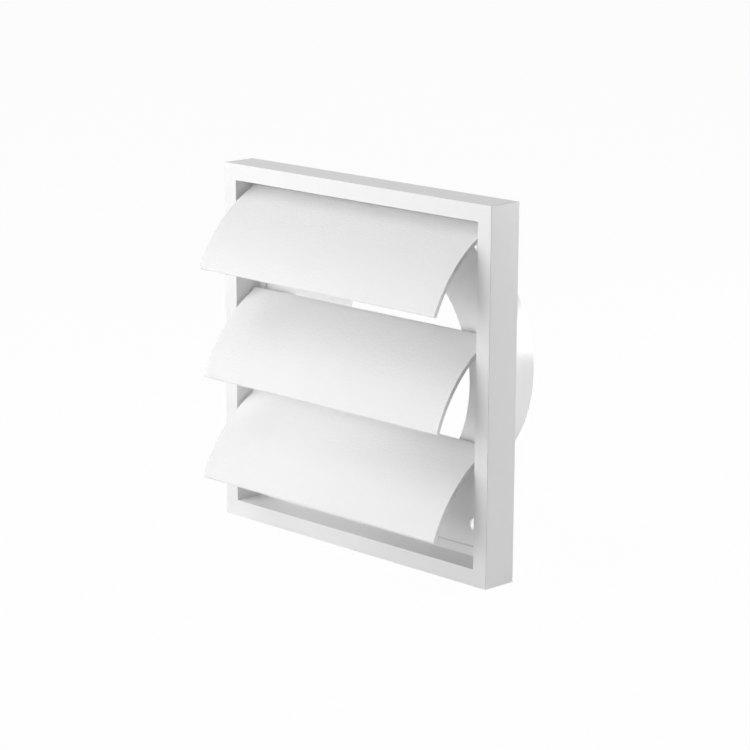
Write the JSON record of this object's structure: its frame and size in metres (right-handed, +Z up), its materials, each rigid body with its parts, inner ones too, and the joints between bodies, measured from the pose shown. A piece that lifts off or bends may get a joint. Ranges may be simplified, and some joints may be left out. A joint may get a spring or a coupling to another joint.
{
  "type": "louvered vent",
  "caption": "Square wall vent: a shallow hollow frame with curved gravity flaps hung across it, closed behind by a plate with a round duct spigot and corner screw holes.",
  "frame": {"origin": "on the spigot's axis, in the plane where the vent meets the wall", "axes": "+Z up, +Y into the wall along the spigot's axis, +X to the right of someone facing the front"},
  "size_m": [0.14, 0.0665, 0.14],
  "materials": {
    "frame_plastic": "semi-gloss white moulding",
    "plate_plastic": "semi-gloss white moulding",
    "flap_plastic": "fine-grained white moulding"
  },
  "bodies": {
    "housing": {"front_frame": "frame_plastic", "spigot_plate": "plate_plastic"},
    "top_flap": {"flap_top": "flap_plastic"},
    "middle_flap": {"flap_middle": "flap_plastic"},
    "bottom_flap": {"flap_bottom": "flap_plastic"}
  },
  "joints": [
    {"name": "top_flap_swing", "type": "hinge", "parent": "housing", "child": "top_flap", "pos_m": [0, -0.005, 0.0593], "axis": [-1, 0, 0], "range_deg": [-38.4, 7.6]},
    {"name": "middle_flap_swing", "type": "hinge", "parent": "housing", "child": "middle_flap", "pos_m": [0, -0.005, 0.0187], "axis": [-1, 0, 0], "range_deg": [-34.4, 11.6]},
    {"name": "bottom_flap_swing", "type": "hinge", "parent": "housing", "child": "bottom_flap", "pos_m": [0, -0.005, -0.0219], "axis": [-1, 0, 0], "range_deg": [-36.4, 9.6]}
  ]
}
